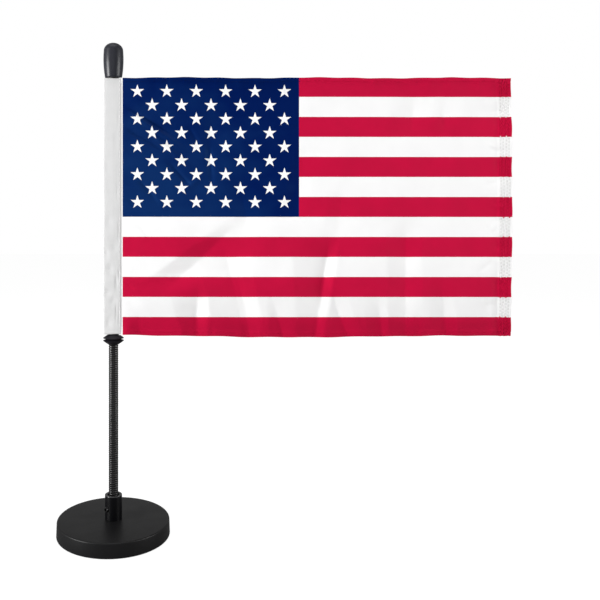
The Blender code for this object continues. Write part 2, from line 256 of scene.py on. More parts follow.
def ranged(source, from_low, from_high, low, high):
    """The source with one range of values stretched to another."""
    ends = {"From Min": from_low, "From Max": from_high, "To Min": low, "To Max": high}
    return fed_node("ShaderNodeMapRange", Value=source, **ends).outputs["Result"]


def math_of(operation, first, second):
    tree = first.id_data
    node = tree.nodes.new("ShaderNodeMath")
    node.operation = operation
    for socket, value in zip(node.inputs, (first, second)):
        if isinstance(value, (int, float)):
            socket.default_value = value
        else:
            tree.links.new(value, socket)
    return node.outputs["Value"]


def mixed(factor, first, second):
    """A colour between two colours, each a tuple or a socket."""
    tree = factor.id_data
    node = tree.nodes.new("ShaderNodeMix")
    node.data_type = "RGBA"
    tree.links.new(factor, node.inputs["Factor"])
    colour_sockets = [socket for socket in node.inputs if socket.type == "RGBA"]
    for socket, value in zip(colour_sockets, (first, second)):
        if isinstance(value, tuple):
            socket.default_value = (*value, 1.0)
        else:
            tree.links.new(value, socket)
    return next(socket for socket in node.outputs if socket.type == "RGBA")


def bumped(shader, height, distance):
    feed(shader, "Normal", fed_node("ShaderNodeBump", Height=height, Distance=distance).outputs["Normal"])


def scaled(colour, factor):
    return tuple(channel * factor for channel in colour)


def toned(factor, colour, darkest, lightest):
    """A colour that goes from a darker to a lighter tone of itself."""
    return mixed(factor, scaled(colour, darkest), scaled(colour, lightest))


def coated_metal(name, colour, roughness, grain, grain_depth, specular=0.5):
    """Powder coat or paint: a fine pebbled skin, uneven gloss, and faint rubbed patches."""
    material, tree, shader = finish(name, colour, roughness, specular=specular)
    place = place_on(tree)
    pebbles = noise_from(place, 1 / grain, detail=2.0)
    patches = noise_from(place, 90.0, detail=4.0, roughness=0.6)
    rubbed = ranged(patches, 0.35, 0.75, 0.0, 1.0)
    feed(shader, "Base Color", toned(rubbed, colour, 0.95, 1.1))
    feed(shader, "Roughness", ranged(patches, 0.3, 0.7, roughness + 0.03, roughness - 0.03))
    bumped(shader, pebbles, grain_depth)
    return material


def plain_metal(name, colour, roughness):
    """Turned or cast metal: brushed rings round the axis and a mottled skin."""
    material, tree, shader = finish(name, colour, roughness, metallic=1.0)
    brushed = noise_from(place_on(tree), 900.0, detail=2.0, stretch=(0.15, 0.15, 6.0))
    feed(shader, "Roughness", ranged(brushed, 0.3, 0.7, roughness - 0.08, roughness + 0.1))
    feed(shader, "Base Color", toned(brushed, colour, 0.75, 1.15))
    bumped(shader, brushed, 0.02 * MM)
    return material


def moulded_rubber(name, colour, roughness, specular):
    """Moulded rubber: a fine skin, and flow marks that change its gloss and tone a little."""
    material, tree, shader = finish(name, colour, roughness, specular=specular)
    place = place_on(tree)
    skin = noise_from(place, 2600.0)
    flow = noise_from(place, 220.0, stretch=(1.0, 1.0, 0.35))
    feed(shader, "Roughness", ranged(flow, 0.3, 0.7, roughness - 0.03, roughness + 0.07))
    feed(shader, "Base Color", toned(flow, colour, 0.85, 1.2))
    height = math_of("ADD", math_of("MULTIPLY", skin, 0.25), flow)
    bumped(shader, height, 0.012 * MM)
    return material


def near_to(place, spot, reach):
    """One at a spot of the flat layout, falling to nought at a distance of reach."""
    tree = place.id_data
    node = tree.nodes.new("ShaderNodeVectorMath")
    node.operation = "DISTANCE"
    node.inputs[1].default_value = (*spot, 0.0)
    tree.links.new(place, node.inputs[0])
    return ranged(node.outputs["Value"], 0.0, reach, 1.0, 0.0)


def woven(name, colour, mottle=0.015, sheen=0.03, roughness=0.75, specular=0.08, patch=16 * MM, ink=None):
    """Thin polyester cloth: crossing threads, slubs, uneven dye and a slight sheen."""
    material, tree, shader = finish(name, colour, roughness, specular=specular)
    place = place_in_cloth(tree)
    warp, weft = (bands_from(place, direction, 0.34 * MM) for direction in "XY")
    threads = math_of("MULTIPLY", warp, weft)
    slubs = noise_from(place, 700.0, detail=2.0)
    dye = ranged(noise_from(place, 1 / patch), 0.32, 0.68, 0.0, 1.0)
    if ink:
        feed(shader, "Base Color", ink(place))
    else:
        tone = math_of("ADD", math_of("MULTIPLY", threads, 0.2), math_of("MULTIPLY", dye, 0.8))
        feed(shader, "Base Color", toned(tone, colour, 1 - mottle, 1 + mottle))
    feed(shader, "Roughness", ranged(dye, 0.0, 1.0, roughness - 0.05, roughness + 0.07))
    shader.inputs["Sheen Weight"].default_value = sheen
    shader.inputs["Sheen Roughness"].default_value = 0.5
    height = math_of("ADD", threads, math_of("MULTIPLY", slubs, 0.5))
    bumped(shader, height, 0.02 * MM)
    return material


def canton_ink_with_painted_sheen(place):
    """Blue print with paler clouds of painted sheen, most of all low down beside the pole."""
    clouds = noise_from(place, 1 / (24 * MM), detail=2.0, stretch=(1.0, 1.5, 1.0))
    sheen_low_down = near_to(place, (18 * MM, CANTON_FOOT + 12 * MM), 90 * MM)
    # the paler blue mixed in here is painted sheen
    painted_sheen_share = ranged(math_of("ADD", clouds, sheen_low_down), 0.66, 1.36, 0.0, 1.0)
    return mixed(painted_sheen_share, BLUE, PAINTED_SHEEN_BLUE)


def make_satin_blue():
    """The canton's print, with a blue gloss and pale patches of painted sheen."""
    material = woven("flag_blue", BLUE, sheen=0.0, roughness=0.5, specular=0.24, ink=canton_ink_with_painted_sheen)
    shader = material.node_tree.nodes["Principled BSDF"]
    shader.inputs["Specular Tint"].default_value = (0.04, 0.4, 1.0, 1.0)
    return material


def sewing_thread(name, colour):
    """Twisted thread: fine slanting plies."""
    material, tree, shader = finish(name, colour, 0.6, specular=0.06)
    plies = bands_from(place_on(tree), "DIAGONAL", 0.18 * MM)
    feed(shader, "Base Color", toned(plies, colour, 0.86, 1.0))
    bumped(shader, plies, 0.02 * MM)
    return material


WHITE = (0.94, 0.94, 0.94)
RED = (0.54, 0.003, 0.044)
BLUE = (0.0, 0.0052, 0.077)
# the pale blue of the canton's painted sheen patches
PAINTED_SHEEN_BLUE = (0.0032, 0.0205, 0.108)
SLEEVE_WHITE = (0.675, 0.675, 0.675)

base_coat = coated_metal("base_coat", (0.0065, 0.0065, 0.0069), 0.4, 0.35 * MM, 0.02 * MM, specular=0.22)
collar_coat = coated_metal("collar_coat", (0.0012, 0.0012, 0.0018), 0.36, 0.5 * MM, 0.015 * MM, specular=0.14)
# the collar rim's coat: a lighter tone that is a painted highlight, and gloss that catches the lamps
rubbed_edge = coated_metal("rubbed_edge", (0.02, 0.02, 0.021), 0.3, 0.5 * MM, 0.01 * MM, specular=0.85)
stop_coat = coated_metal("stop_coat", (0.0115, 0.0106, 0.014), 0.42, 0.5 * MM, 0.02 * MM, specular=0.14)
wire_coat = coated_metal("wire_coat", (0.006, 0.0055, 0.0058), 0.18, 0.3 * MM, 0.004 * MM, specular=0.7)
screw_black = plain_metal("set_screw_black", (0.05, 0.05, 0.052), 0.34)
screw_zinc = plain_metal("screw_zinc", (0.55, 0.55, 0.57), 0.36)
ferrule_steel = plain_metal("ferrule_dark", (0.10, 0.10, 0.105), 0.4)
weight_iron = plain_metal("weight_cast", (0.16, 0.16, 0.17), 0.62)
cap_rubber = moulded_rubber("cap_rubber", (0.017, 0.018, 0.025), 0.32, 0.32)
pad_rubber = moulded_rubber("pad_rubber", (0.018, 0.018, 0.018), 0.85, 0.3)
cloth_white = woven("flag_white", WHITE)
cloth_red = woven("flag_red", RED, mottle=0.05, specular=0.06)
cloth_blue = make_satin_blue()
cloth_sleeve = woven("sleeve_white", SLEEVE_WHITE, mottle=0.025, patch=7 * MM)
thread_white = sewing_thread("thread_white", (0.88, 0.88, 0.87))
thread_red = sewing_thread("thread_red", scaled(RED, 1.1))
thread_blue = sewing_thread("thread_blue", (0.0, 0.009, 0.088))


# ---------------- camera and light

def make_camera():
    """Level camera before the flag. Its height shows the base's top, and its shift frames the whole stand."""
    distance = 400 * MM
    eye_height = 175.4 * MM
    widths_per_metre = 2.8333  # frame widths that a metre takes up at the pole
    frame_centre_x = 109.7 * MM
    frame_centre_z = eye_height - 38.1 * MM
    data = bpy.data.cameras.new("camera")
    data.lens = data.sensor_width * widths_per_metre * distance
    data.shift_x = 0.19
    data.shift_y = (frame_centre_z - eye_height) * widths_per_metre
    camera = bpy.data.objects.new("camera", data)
    camera.location = (frame_centre_x - data.shift_x / widths_per_metre, -distance, eye_height)
    camera.rotation_euler = (math.pi / 2, 0.0, 0.0)
    bpy.context.scene.collection.objects.link(camera)
    bpy.context.scene.camera = camera


def softbox(name, bearing, elevation, distance, size, radiance):
    """A rectangular light that faces the flag: bearing in degrees from the front, positive to the right."""
    target = Vector((70 * MM, 0.0, 150 * MM))
    turn, lift = math.radians(bearing), math.radians(elevation)
    away = Vector((math.sin(turn) * math.cos(lift), -math.cos(turn) * math.cos(lift), math.sin(lift)))
    data = bpy.data.lights.new(name, "AREA")
    data.shape = "RECTANGLE"
    data.size, data.size_y = size
    data.energy = radiance * math.pi * size[0] * size[1]
    light = bpy.data.objects.new(name, data)
    light.location = target + away * distance
    light.rotation_euler = (-away).to_track_quat("-Z", "Y").to_euler()
    bpy.context.scene.collection.objects.link(light)


def bright_to_camera(tree, lit, output, brightness):
    """Makes a surface or the surround plain bright where the camera sees it, with lit for every other ray."""
    plain = tree.nodes.new("ShaderNodeEmission" if lit.node.type != "BACKGROUND" else "ShaderNodeBackground")
    plain.inputs["Strength"].default_value = brightness
    plain.inputs["Color"].default_value = (1.0, 1.0, 1.0, 1.0)
    path = tree.nodes.new("ShaderNodeLightPath")
    pick = tree.nodes.new("ShaderNodeMixShader")
    tree.links.new(path.outputs["Is Camera Ray"], pick.inputs["Fac"])
    tree.links.new(lit, pick.inputs[1])
    tree.links.new(plain.outputs[0], pick.inputs[2])
    tree.links.new(pick.outputs[0], output)
    return pick, plain


def make_studio():
    """A white room: softboxes at both sides, above and in front, and a floor that fades into the backdrop."""
    scene = bpy.context.scene
    scene.view_settings.view_transform = "Standard"
    world = bpy.data.worlds.new("studio")
    world.use_nodes = True
    scene.world = world
    surround = world.node_tree.nodes["Background"]
    surround.inputs["Color"].default_value = (1.0, 1.0, 1.0, 1.0)
    surround.inputs["Strength"].default_value = 0.36
    world_output = world.node_tree.nodes["World Output"].inputs[0]
    bright_to_camera(world.node_tree, surround.outputs[0], world_output, 1.0)

    softbox("left_box", -66, 4, 1.15, (0.42, 0.5), 24.4)
    softbox("right_box", 70, 6, 1.15, (0.55, 0.55), 8.6)
    softbox("top_box", -10, 74, 1.1, (0.9, 0.6), 1.7)
    softbox("front_fill", -6, 12, 1.2, (0.9, 0.6), 0.5)

    corners = [(-6, -6, 0), (6, -6, 0), (6, 6, 0), (-6, 6, 0)]
    floor_mesh = mesh_from("floor", corners, [(0, 1, 2, 3)], smooth=False)
    floor_material, tree, shader = finish("floor", (0.24, 0.24, 0.24), 0.9, specular=0.0)
    output = tree.nodes["Material Output"].inputs["Surface"]
    pick, plain = bright_to_camera(tree, shader.outputs[0], output, 0.9)
    both = tree.nodes.new("ShaderNodeAddShader")
    tree.links.new(shader.outputs[0], both.inputs[0])
    tree.links.new(plain.outputs[0], both.inputs[1])
    tree.links.new(both.outputs[0], pick.inputs[2])
    new_object("floor", floor_mesh, floor_material)


# ---------------- base, collar, stop and cap

def box_ring(node):
    """(outer radius, lowest, highest) of a turned CAD node."""
    low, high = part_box(node)
    return (high.x - low.x) / 2, low.z, high.z


def make_base():
    radius, foot, top = box_ring("base_cover")
    top_radius = radius - 0.25 * MM
    edge, rim = 0.8 * MM, 0.4 * MM
    plate, wall, hole = 1.8 * MM, 2.25 * MM, 2.2 * MM
    outline = [
        *rounded_corner((hole, top - plate), (radius - wall, top - plate), (radius - wall, foot), 0.3 * MM),
        (radius - wall, foot),
        *arc((radius - rim, foot + rim), (rim, rim), -90, 0, 4),
        *arc((top_radius - edge, top - edge), (edge, edge), 0, 90, 12),
        (12 * MM, top),
        (hole, top),
        (hole, top - plate),
    ]
    wrap_up(turned("base_cover_shell", outline, 160, base_coat), "base_cover")


def set_screw_frame():
    """(middle of the screw's inner end, its outward direction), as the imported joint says."""
    joint = JOINTS["set_screw_turn"]
    return Vector(joint["pos_m"]), Vector(joint["axis"]).normalized()


def turn_to(obj, place, direction):
    """Lays a piece that was turned about the pole's axis along another line."""
    turn = Vector((0.0, 0.0, 1.0)).rotation_difference(direction).to_matrix().to_4x4()
    obj.data.transform(turn)
    obj.data.transform(Matrix.Translation(place))


def rod(name, radius, low, high, sides, material):
    """A straight cutter, from axis to axis so that it is closed."""
    return turned(name, [(0.0, low), (radius, low), (radius, high), (0.0, high)], sides, material)


def make_collar():
    radius, foot, top = box_ring("collar")
    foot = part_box("base_cover")[1].z - 0.02 * MM
    bore, hole, floor = 3.45 * MM, 2.2 * MM, 13.5 * MM
    edge = [
        *arc((radius - 0.3 * MM, top - 0.3 * MM), (0.3 * MM, 0.3 * MM), 0, 90, 5),
        *arc((bore + 0.5 * MM, top - 0.5 * MM), (-0.5 * MM, 0.5 * MM), 90, 0, 5),
    ]
    foot_edge = [(radius - 0.15 * MM, foot), (radius, foot + 0.15 * MM)]
    outline = [(hole, foot), *foot_edge, *edge, (bore, floor), (hole, floor)]
    collar = turned("collar_tube", outline, 96, collar_coat)
    place, outward = set_screw_frame()
    drill = rod("drill", 1.62 * MM, -1.5 * MM, 6 * MM, 48, collar_coat)
    turn_to(drill, place, outward)
    cut_with(collar, drill)
    # the rim gets a lighter, glossier coat: its lighter tone is a painted highlight
    give_rim_painted_highlight(collar, top - 0.55 * MM)
    wrap_up(collar, "collar")


def give_rim_painted_highlight(obj, above):
    """The faces above a height get a lighter, glossier coat: its lighter tone is a painted highlight on the rim,
    its gloss catches the lamps.
    """
    obj.data.materials.append(rubbed_edge)
    for face in obj.data.polygons:
        if face.center.z > above:
            face.material_index = len(obj.data.materials) - 1


def make_set_screw():
    place, outward = set_screw_frame()
    low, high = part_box("set_screw")
    radius = (high.z - low.z) / 2
    length = 2.55 * MM
    bevel = 0.22 * MM
    pitch = 0.5 * MM
    # A thread's ridge: how far in each point lies, and at what share of the pitch
    ridge = [(0.04 * MM, 0.0), (0.0, 0.3), (0.0, 0.6), (0.16 * MM, 0.95)]
    starts = [bevel + turn * pitch for turn in range(int((length - 2 * bevel) / pitch))]
    side = [(radius - inwards, start + pitch * share) for start in starts for inwards, share in ridge]
    outline = [(0.0, 0.0), (radius - bevel, 0.0), *side, (radius - bevel, length), (0.0, length)]
    screw = turned("set_screw_body", outline, 48, screw_black)
    socket = rod("socket", 0.85 * MM, length - 1.2 * MM, length + 0.5 * MM, 6, screw_black)
    cut_with(screw, socket)
    turn_to(screw, place, outward)
    wrap_up(screw, "set_screw")


def make_stop():
    for node, name in (("stop_upper_cup", "stop_cup_top"), ("stop_lower_cup", "stop_cup_bottom")):
        radius, low, high = box_ring(node)
        up, foot, crown = (1, low, high) if node == "stop_upper_cup" else (-1, high, low)
        rim = crown - up * 2.0 * MM
        lip = 0.28 * MM
        outline = [
            (2.95 * MM, foot - up * 0.1 * MM),
            (4.35 * MM, foot - up * 0.1 * MM),
            (4.7 * MM, foot + up * 0.1 * MM),
            (radius - 0.12 * MM, rim - up * lip),
            (radius, rim - up * lip * 0.6),
            (radius - 0.05 * MM, rim - up * 0.04 * MM),
            (4.55 * MM, crown - up * 0.95 * MM),
            (3.25 * MM, crown - up * 0.08 * MM),
            (3.05 * MM, crown),
            (2.85 * MM, crown),
        ]
        wrap_up(turned(name, outline, 96, stop_coat), node)


def make_cap():
    radius, foot, top = box_ring("finial_cap")
    widest, dome, mouth = 11.2 * MM, 4.6 * MM, 4.9 * MM
    flare = radius - mouth
    side_radius = (flare**2 + widest**2) / (2 * flare)
    centre = (radius - side_radius, foot + widest)
    dome_base = top - dome
    mouth_angle = math.degrees(math.asin(widest / side_radius))
    dome_angle = math.degrees(math.asin((dome_base - centre[1]) / side_radius))
    side = arc(centre, (side_radius, side_radius), -mouth_angle, dome_angle, 28)
    crown = arc((0.0, dome_base), (side[-1][0], dome), 0, 90, 20)
    lip = arc((mouth - 0.45 * MM, foot + 0.2 * MM), (0.4 * MM, 0.2 * MM), -90, -10, 5)
    bore = 3.45 * MM
    outline = [
        (0.0, foot + 14.5 * MM),
        (bore - 0.6 * MM, foot + 14.2 * MM),
        (bore, foot + 13.4 * MM),
        (bore, foot + 0.3 * MM),
        (bore + 0.3 * MM, foot),
        *lip,
        *side[1:],
        *crown[1:-1],
        (0.0, top),
    ]
    cap = turned("cap_bulb", outline, 96, cap_rubber)
    wrap_up(cap, "finial_cap")


# ---------------- neck

PITCH = 1.27 * MM
WEDGE = [
    (2.79, -0.28), (2.74, -0.41), (2.6, -0.52), (2.36, -0.57), (2.08, -0.14),
    (2.08, 0.14), (2.36, 0.57), (2.6, 0.52), (2.74, 0.41), (2.79, 0.28),
]
DRAWN_IN = 0.28  # the wound wire is this much slimmer inside the flag's sleeve, in millimetres
ROUND_CENTRE = 1.46
ROUND_RADIUS = 0.42


def wound_wire(name, section, bottom, top, per_turn, lift):
    """A wire wound round the pole's axis. Its turn depends on its height alone, so that lengths meet."""
    steps = max(2, round((top - bottom) / PITCH * per_turn))
    points = []
    for step in range(steps + 1):
        height = bottom + (top - bottom) * step / steps
        turn = 2 * math.pi * (height - lift) / PITCH
        for radius, rise in section:
            points.append((radius * MM * math.cos(turn), radius * MM * math.sin(turn), height + rise * MM))
    mesh = mesh_from(name, points, tube_faces(steps + 1, len(section)))
    face_outward(mesh)
    mesh.set_sharp_from_angle(angle=math.radians(38))
    wire = new_object(name, mesh, wire_coat)
    return wire


def make_neck():
    """Two wires, one inside the other: eight lengths, each round one bend joint, and one in the sleeve."""
    bends = [joint for name, joint in JOINTS.items() if name.startswith("bend_")]
    bends.sort(key=lambda joint: joint["pos_m"][2])
    turns = [2 * math.pi * side / 8 for side in range(8)]
    ring = [(ROUND_CENTRE + ROUND_RADIUS * math.cos(a), ROUND_RADIUS * math.sin(a)) for a in turns]
    slim_wedge = [(radius - DRAWN_IN, rise) for radius, rise in WEDGE]
    half = (bends[1]["pos_m"][2] - bends[0]["pos_m"][2]) / 2
    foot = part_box("neck_wedge_coil_0")[0].z + 0.6 * MM
    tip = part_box("neck_wedge_coil_8")[1].z - 1.2 * MM
    in_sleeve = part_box("stop_upper_cup")[1].z + 2 * MM
    for number, joint in enumerate(bends, start=1):
        height = joint["pos_m"][2]
        low = foot if number == 1 else height - half
        high = in_sleeve if number == len(bends) else height + half
        for kind, section, per_turn, lift in (("wedge", WEDGE, 30, 0.0), ("round", ring, 15, PITCH / 2)):
            wire = wound_wire(f"neck_{kind}_wire_{number}", section, low, high, per_turn, lift)
            nodes = [f"neck_{kind}_coil_{number}"]
            if number == 1:
                nodes.append(f"neck_{kind}_coil_0")
            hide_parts(*nodes)
            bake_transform(wire)
    for kind, section, per_turn, lift in (("wedge", slim_wedge, 16, 0.0), ("round", ring, 8, PITCH / 2)):
        wire = wound_wire(f"neck_{kind}_wire_{len(bends)}_in_sleeve", section, in_sleeve, tip, per_turn, lift)
        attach(wire, bends[-1]["child"])


# ---------------- flag

# Folds that stand up from the foot and hang from the top, each one shaded side and one bright side. All in
# millimetres: place along the fly, lean per millimetre up, width where it starts, widening per millimetre up,
# from what height to what height it shows, slope of its shaded side, and how wide its bright side is.
FOLDS = [
    (4.5, 0.0, 5.0, 0.0, -40, 20, 0.25, 18),
    (34.5, -0.28, 8.0, 0.32, -40, 34, 0.25, 7),
    (54.0, -0.22, 17.0, 0.0, -40, 60, 0.147, 13),
    (70.0, -0.2, 4.5, 0.0, -40, 44, 0.191, 9),
    (86.0, -0.06, 7.5, -0.2, -40, 32, 0.294, 8),
    (102.5, -0.06, 10.0, 0.22, -40, 62, 0.206, 6),
    (120.5, -0.36, 11.0, 0.0, -40, 38, 0.235, 9),
    (144.0, -0.12, 8.0, 0.0, -40, 30, 0.22, 5),
    (156.5, -0.03, 9.5, 0.03, -40, 72, 0.206, 10),
    (170.5, 0.08, 3.0, 0.0, -40, 26, 0.147, 7),
    (181.5, -0.1, 8.5, 0.0, -40, 36, 0.235, 7),
    (197.0, 0.05, 17.0, 0.0, -40, 36, 0.079, 50),
    (217.4, -0.02, 3.4, 0.0, -40, 48, 0.382, 7),
    (13.0, 1.33, 18.0, -0.28, 32, 74, 0.158, 30),
    (157.0, 0.05, 13.0, 0.0, 122, 152, 0.132, 12),
    (186.0, 0.0, 2.6, 0.0, 120, 150, 0.206, 8),
    (199.0, 0.1, 18.0, 0.0, 126, 154, 0.079, 50),
    (217.6, 0.0, 3.0, 0.0, 92, 153, 0.25, 7),
    (47.0, 0.0, 4.5, 0.0, 104, 138, 0.206, 10),
    (66.0, -0.3, 7.0, 0.1, 66, 98, 0.176, 9),
    (92.0, 0.25, 6.0, 0.0, 72, 112, 0.132, 9),
    (118.0, 0.12, 8.0, 0.0, 60, 100, 0.088, 12),
]
FOLD_SOFTNESS = 0.45 * MM

# Sharp creases, in millimetres: where each starts, its length, direction in degrees, half width and depth
CREASES = [
    (1, 135, 40, -31, 1.2, 1.4),
    (5, 130, 44, -33, 1.3, -1.3),
    (1, 122, 30, -29, 1.2, 1.2),
    (16, 119, 34, -40, 1.2, -1.2),
    (26, 103, 24, -48, 1.4, 1.2),
    (38, 124, 20, -62, 1.4, 0.8),
    (50, 112, 26, -84, 1.6, 0.9),
    (9, 92, 20, -50, 1.3, 1.0),
    (34, 84, 18, 38, 1.3, -0.7),
    (0.5, 109, 12, -8, 0.8, 0.3),
    (0.5, 88, 14, -14, 0.8, -0.3),
    (1, 80, 15, -24, 0.9, 0.3),
    (9, 66, 13, -52, 0.9, 0.32),
    (1, 68, 9, -38, 0.8, -0.28),
    (0.5, 50, 9, -12, 0.8, 0.25),
    (1, 31, 8, -30, 0.9, 0.3),
    (213, 139, 12, 3, 0.9, 0.32),
    (214, 113, 11, -24, 0.9, -0.34),
    (216, 110, 12, -4, 0.8, 0.3),
    (212, 88, 12, 20, 0.9, 0.28),
    (214, 64, 9, -48, 0.9, 0.36),
    (215, 61, 8, 48, 0.9, -0.36),
    (210, 38, 12, 40, 1.2, 0.36),
    (213, 18, 8, 6, 0.9, 0.3),
]


def smooth_step(low, high, value):
    t = np.clip((value - low) / (high - low), 0.0, 1.0)
    return t * t * (3 - 2 * t)


def soft_ramp(value):
    """Nought below nought, the value above it, with a rounded corner."""
    return (np.sqrt(value**2 + FOLD_SOFTNESS**2) + value) / 2


def folded(u, v):
    """How far the folds push the cloth back from its plane."""
    depth = np.zeros_like(u)
    for place, lean, width, widening, low, high, slope, back in FOLDS:
        up = v / MM - max(low, 0)
        ahead = u - (place + lean * up) * MM
        shade = np.maximum(width + widening * up, 1.0) * MM
        back = back * MM
        bright = (soft_ramp(ahead - shade) - soft_ramp(ahead - shade - back)) * shade / back
        profile = soft_ramp(ahead) - soft_ramp(ahead - shade) - bright
        shows = smooth_step(low - 8, low + 8, v / MM) * (1 - smooth_step(high - 24, high, v / MM))
        depth += slope * shows * profile
    return depth


def curled(v, start, end, slope):
    """A slope that grows from nothing at start to its full size at end, as a distance back."""
    t = np.clip((v - start) / (end - start), 0.0, None)
    within = np.minimum(t, 1.0)
    return slope * abs(end - start) * (within**3 - within**4 / 2 + np.maximum(t - 1, 0.0))


def creased(u, v):
    depth = np.zeros_like(u)
    for start_u, start_v, length, bearing, width, height in CREASES:
        turn = math.radians(bearing)
        off_u, off_v = u / MM - start_u, v / MM - start_v
        ahead = off_u * math.cos(turn) + off_v * math.sin(turn)
        aside = off_v * math.cos(turn) - off_u * math.sin(turn)
        shows = smooth_step(-2.0, 0.25 * length, ahead) * (1 - smooth_step(0.55 * length, length, ahead))
        depth += height * MM * shows * np.exp(-((aside / width) ** 2))
    return depth


def make_ripples():
    """Faint unevenness: waves of chance direction, as (along u, along v, phase, depth)."""
    draw = random.Random(23)
    waves = []
    for _ in range(26):
        length = draw.uniform(9, 34) * MM
        bearing = draw.uniform(0, 2 * math.pi)
        turns = 2 * math.pi / length
        phase = draw.uniform(0, 6.3)
        waves.append((turns * math.cos(bearing), turns * math.sin(bearing), phase, 0.0009 * length))
    return waves


def make_tucks(seed, length, gap, width, depth):
    """Small tucks along a sewn edge: place, half width and depth."""
    draw = random.Random(seed)
    along = draw.uniform(0.3, 1.0) * gap
    tucks = []
    while along < length:
        tucks.append((along, draw.uniform(0.6, 1.3) * width, draw.uniform(-1.0, 1.0) * depth))
        along += draw.uniform(0.6, 1.5) * gap
    return tucks


RIPPLES = make_ripples()
TOP_TUCKS = make_tucks(5, PRINT_WIDTH, 9 * MM, 2.6 * MM, 0.4 * MM)
FOOT_TUCKS = make_tucks(8, PRINT_WIDTH, 7 * MM, 2.0 * MM, 0.3 * MM)
# The panel's hoist end is sewn in between the sleeve's layers, this far in front of the pole's axis
SEAM_DEPTH = 2.55 * MM
FLY_TUCKS = make_tucks(3, PRINT_HEIGHT, 6 * MM, 1.7 * MM, 0.42 * MM)


def tucked(tucks, along, across, reach):
    """Tucks at their places along a sewn line, dying out across it."""
    depth = np.zeros_like(along)
    for place, width, height in tucks:
        depth += height * np.exp(-(((along - place) / width) ** 2))
    return depth * np.exp(-((across / reach) ** 2))


def panel_point(u, v):
    """Where points of the flat panel lie. The panel leaves the sleeve level with the sleeve's front."""
    share = np.clip(u / PRINT_WIDTH, 0.0, 1.0)
    from_top = PRINT_HEIGHT - v
    depth = folded(u, v) + creased(u, v)
    depth += 1.0 * MM * np.sin(2 * math.pi * (0.9 * share + 0.1 * v / PRINT_HEIGHT) + 2.6) * share
    foot_curl = curled(v, 46 * MM, 12 * MM, 0.15) + curled(v, 13 * MM, 5 * MM, 0.26)
    top_curl = curled(v, PRINT_HEIGHT - 14 * MM, PRINT_HEIGHT - 4 * MM, 0.17)
    depth += (foot_curl - top_curl) * (1 - np.exp(-np.maximum(u, 0.0) / (30 * MM)))
    for along, up, phase, height in RIPPLES:
        depth += height * np.sin(along * u + up * v + phase)
    depth += tucked(TOP_TUCKS, u, from_top - EDGE_HEM, 5 * MM)
    depth += tucked(FOOT_TUCKS, u, v - EDGE_HEM, 5 * MM)
    depth += tucked(FLY_TUCKS, v, PRINT_WIDTH - FLY_HEM - u, 4 * MM)
    depth *= smooth_step(-0.5 * MM, 5 * MM, u)
    depth -= SEAM_DEPTH * (1 - smooth_step(0.0, 75 * MM, u))
    spread = 0.45 * depth * share
    drop = 0.15 * depth * (1 - 2 * v / PRINT_HEIGHT)

    foot_edge = np.exp(-((v / (6 * MM)) ** 2))
    top_edge = np.exp(-((from_top / (6 * MM)) ** 2))
    sag = 0.6 * MM - 1.15 * MM * np.exp(-(((u - 97 * MM) / (62 * MM)) ** 2)) - 0.35 * MM * share
    foot_wave = 0.12 * MM * np.sin(u / (4.1 * MM)) + 0.1 * MM * np.sin(u / (7.3 * MM) + 1.0)
    top_wave = 0.24 * MM * np.sin(u / (12.5 * MM) - 1.4) + 0.12 * MM * np.sin(u / (3.1 * MM) + 2.0)
    z = PRINT_FOOT + v - drop + foot_edge * (sag + foot_wave) + top_edge * top_wave

    fly_edge = np.exp(-(((PRINT_WIDTH - u) / (10 * MM)) ** 2))
    bow = 0.8 * MM * np.sin(math.pi * np.clip(v / PRINT_HEIGHT, 0, 1)) - 0.5 * MM
    fly_wave = 0.16 * MM * np.sin(v / (2.7 * MM)) + 0.14 * MM * np.sin(v / (6.1 * MM) + 0.7)
    x = PRINT_HOIST + u + spread + fly_edge * (bow + fly_wave)
    return np.stack([x, depth, z], axis=-1)


def panel_normal(u, v):
    """The panel's normal on its front side."""
    step = 0.25 * MM
    along = panel_point(u + step, v) - panel_point(u - step, v)
    up = panel_point(u, v + step) - panel_point(u, v - step)
    normal = np.cross(along, up)
    return normal / np.linalg.norm(normal, axis=-1, keepdims=True)


def pinched(across, along, stitch):
    """How much a row of stitches pulls the layers together: most at the needle holes."""
    hole = np.cos(math.pi * along / stitch) ** 2
    return np.exp(-((across / (0.42 * MM)) ** 2)) * (0.35 + 0.65 * hole)


def fly_row_start(row):
    """Every second row of stitches starts half a stitch further up."""
    return (row % 2) * FLY_STITCH / 2


def panel_faces(u, v):
    """How far the front and back faces lie from the cloth's middle. Hems are turned back and puffed."""
    turn = 0.15 * MM
    from_fly = PRINT_WIDTH - u
    from_edge = np.minimum(v, PRINT_HEIGHT - v)
    fly = smooth_step(-turn, turn, FLY_HEM - from_fly)
    edge = smooth_step(-turn, turn, EDGE_HEM - from_edge)
    pinch = pinched(from_edge - EDGE_ROW, u, EDGE_STITCH)
    for row, place in enumerate(FLY_ROWS):
        pinch = np.maximum(pinch, pinched(from_fly - place, v - fly_row_start(row), FLY_STITCH))
    fly_puff = 0.5 * MM * smooth_step(-1.0 * MM, 1.0 * MM, FLY_HEM - from_fly)
    edge_puff = 0.2 * MM * smooth_step(-0.6 * MM, 0.6 * MM, EDGE_HEM - from_edge)
    puff = np.maximum(fly_puff, edge_puff) * (1 - pinch)
    return CLOTH / 2 + puff, CLOTH / 2 + np.maximum(fly, edge) * CLOTH * 0.8 + puff * 0.4


def star_centres():
    """Nine rows of stars, six and five by turns, in the middle of the canton."""
    for line in range(STAR_ROWS):
        count = 6 if line % 2 == 0 else 5
        v = CANTON_FOOT + CANTON_HEIGHT / 2 + (line - (STAR_ROWS - 1) / 2) * STAR_ROW_PITCH
        for place in range(count):
            yield CANTON_WIDTH / 2 + (2 * place - count + 1) * STAR_COLUMN_PITCH, v


